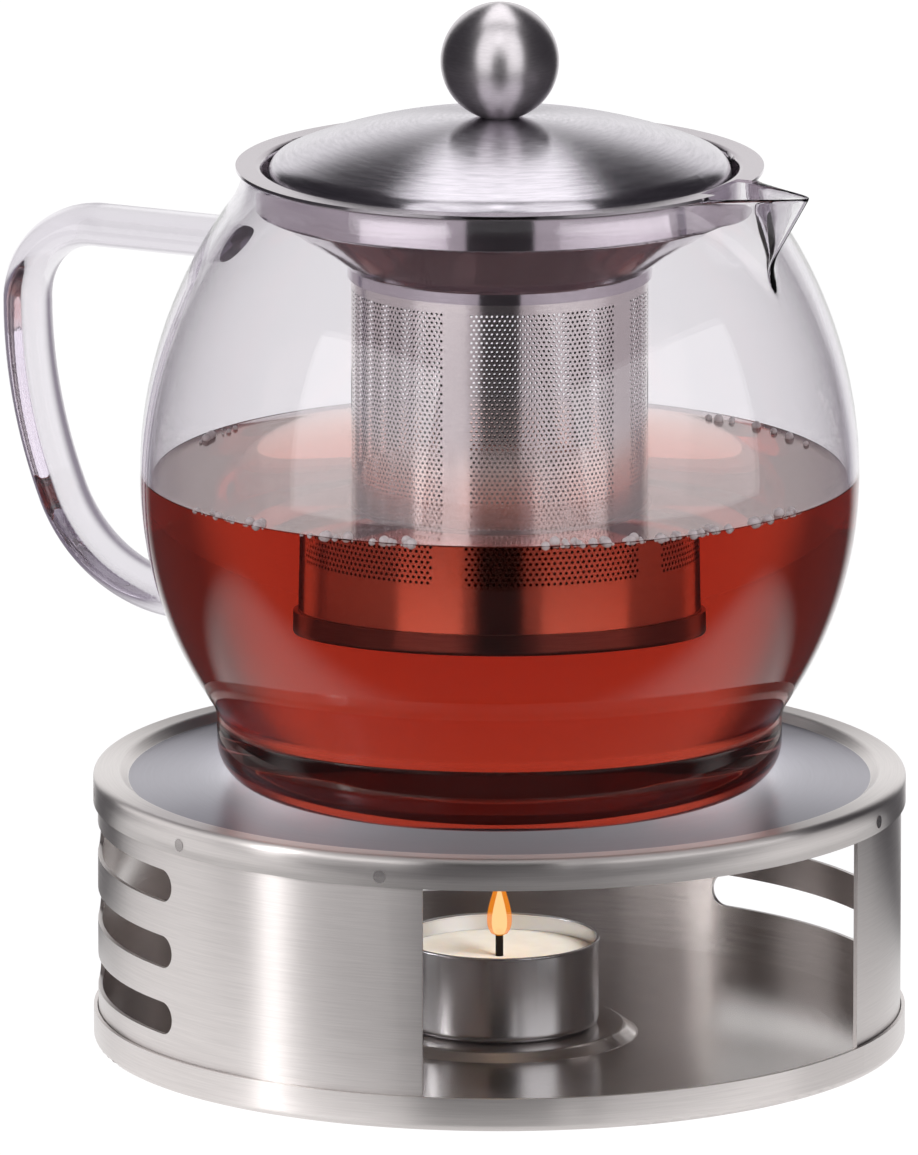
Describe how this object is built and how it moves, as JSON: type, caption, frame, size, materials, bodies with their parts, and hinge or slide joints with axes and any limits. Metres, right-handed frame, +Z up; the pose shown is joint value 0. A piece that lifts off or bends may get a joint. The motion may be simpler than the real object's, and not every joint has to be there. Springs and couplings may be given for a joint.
{
  "type": "glass teapot with tealight warmer",
  "caption": "Clear glass teapot with a drawn pouring lip, steel basket infuser and domed lid, standing on a vented steel warmer that holds a tealight under it.",
  "frame": {"origin": "centre of the warmer's underside, on the table", "axes": "+Z up; +X along the pouring spout, -X along the handle"},
  "size_m": [0.185, 0.1566, 0.2029],
  "materials": {
    "warmer_steel": "brushed",
    "weld_steel": "satin",
    "cup_aluminium": "polished",
    "wax": "waxy",
    "tab_tin": "satin",
    "wick_cotton": "charred",
    "pot_glass": "clear",
    "infuser_steel": "polished",
    "sleeve_steel": "satin",
    "lid_steel": "brushed in circles",
    "screw_steel": "plain"
  },
  "bodies": {
    "warmer": {"warmer_pan": "warmer_steel", "warmer_band": "warmer_steel", "warmer_cap": "warmer_steel", "cap_spot_welds": "weld_steel"},
    "tealight": {"tealight_cup": "cup_aluminium", "tealight_wax": "wax", "wick_tab": "tab_tin", "wick": "wick_cotton"},
    "pot": {"glass_body": "pot_glass", "glass_handle": "pot_glass"},
    "infuser": {"infuser_funnel": "infuser_steel", "infuser_sleeve": "sleeve_steel", "infuser_base_cap": "infuser_steel"},
    "lid": {"lid_dome": "lid_steel", "knob_ball": "lid_steel", "knob_insert": "screw_steel", "knob_washer": "screw_steel", "knob_screw": "screw_steel"}
  },
  "joints": [
    {"name": "pot_lift", "type": "slide", "parent": "warmer", "child": "pot", "axis": [0, 0, 1], "range_m": [0, 0.06]},
    {"name": "infuser_lift", "type": "slide", "parent": "pot", "child": "infuser", "axis": [0, 0, 1], "range_m": [0, 0.1]},
    {"name": "lid_lift", "type": "slide", "parent": "infuser", "child": "lid", "axis": [0, 0, 1], "range_m": [0, 0.05]},
    {"name": "tealight_draw", "type": "slide", "parent": "warmer", "child": "tealight", "axis": [0.7883, -0.6048, 0.1132], "range_m": [0, 0.12]}
  ]
}
